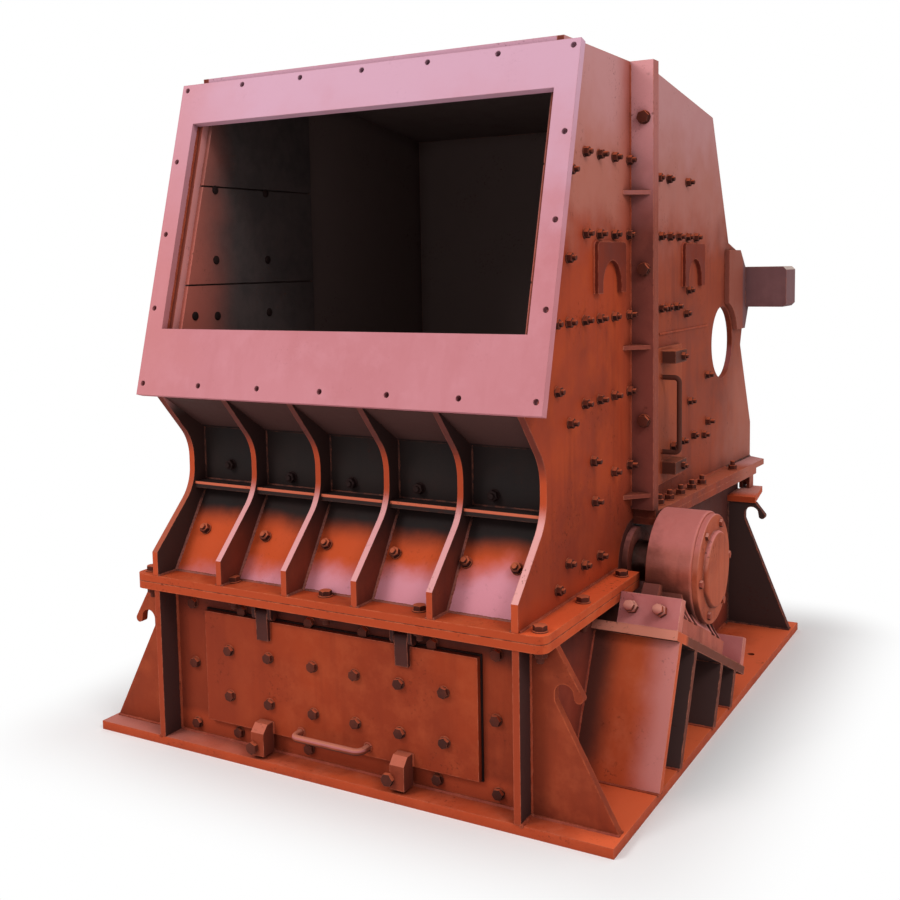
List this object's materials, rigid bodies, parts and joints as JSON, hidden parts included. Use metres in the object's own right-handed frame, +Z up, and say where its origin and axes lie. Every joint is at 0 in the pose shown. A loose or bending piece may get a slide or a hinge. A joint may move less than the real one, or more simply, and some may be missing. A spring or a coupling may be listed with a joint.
{
  "type": "hammer crusher",
  "caption": "Hammer crusher with a split welded housing: leaning feed mouth, ribbed recess, spinning hammer rotor in side bearings, hinged front door and swing-back rear housing.",
  "frame": {"origin": "centre of the base plate's underside", "axes": "+Z up, +X along the rotor towards the closed bearing, +Y towards the rear hinge; the feed mouth faces -Y"},
  "size_m": [2.156, 2.427, 2.25],
  "materials": {
    "red_oxide_paint": "brushed red oxide primer, semi-gloss, over welded plate",
    "painted_casting": "red oxide paint over a rough casting",
    "bare_shaft_steel": "turned steel, oiled",
    "wear_steel": "dark scaled manganese steel"
  },
  "bodies": {
    "base": {"base_flange": "red_oxide_paint", "base_front_wall": "red_oxide_paint", "base_plate": "red_oxide_paint", "base_rear_wall": "red_oxide_paint", "base_side_wall_left": "red_oxide_paint", "base_side_wall_right": "red_oxide_paint", "bearing_cover_left": "painted_casting", "bearing_cover_right": "painted_casting", "bearing_housing_left": "painted_casting", "bearing_housing_right": "painted_casting", "breaker_plate": "wear_steel", "discharge_grate": "wear_steel", "door_hinge_ears": "red_oxide_paint", "feed_plate": "wear_steel", "front_arch_pads": "red_oxide_paint", "front_housing_flange": "red_oxide_paint", "front_side_plate_left": "red_oxide_paint", "front_side_plate_right": "red_oxide_paint", "front_split_flange": "red_oxide_paint", "front_top_plate": "red_oxide_paint", "lifting_hooks": "red_oxide_paint", "mouth_frame": "red_oxide_paint", "pedestal_left": "red_oxide_paint", "pedestal_right": "red_oxide_paint", "rear_hinge_brackets": "red_oxide_paint", "recess_ledge": "red_oxide_paint", "recess_ribs": "red_oxide_paint", "recess_wall": "red_oxide_paint", "riser_flange": "red_oxide_paint", "shaft_seals": "red_oxide_paint", "side_liners": "wear_steel", "stop_blocks": "red_oxide_paint"},
    "access_door": {"access_door": "red_oxide_paint", "door_clamps": "red_oxide_paint", "door_handle": "red_oxide_paint"},
    "rotor": {"rotor_shaft": "bare_shaft_steel", "rotor_discs": "wear_steel", "hammers": "wear_steel", "hammer_pins": "wear_steel"},
    "rear_housing": {"rear_side_plate_left": "red_oxide_paint", "rear_side_plate_right": "red_oxide_paint", "rear_top_plate": "red_oxide_paint", "rear_bulkhead": "red_oxide_paint", "rear_housing_flange": "red_oxide_paint", "rear_split_flange": "red_oxide_paint", "rear_hinge_lugs": "red_oxide_paint", "rear_cross_beam": "red_oxide_paint", "rear_arch_pads": "red_oxide_paint", "side_hatches": "red_oxide_paint"}
  },
  "joints": [
    {"name": "rotor_spin", "type": "hinge", "parent": "base", "child": "rotor", "pos_m": [0, -0.19, 0.58], "axis": [1, 0, 0], "continuous": true},
    {"name": "front_door", "type": "hinge", "parent": "base", "child": "access_door", "pos_m": [0, -1.03, 0.492], "axis": [-1, 0, 0], "range_deg": [0, 78]},
    {"name": "rear_housing_tilt", "type": "hinge", "parent": "base", "child": "rear_housing", "pos_m": [0, 1.18, 0.632], "axis": [-1, 0, 0], "range_deg": [0, 75]}
  ]
}
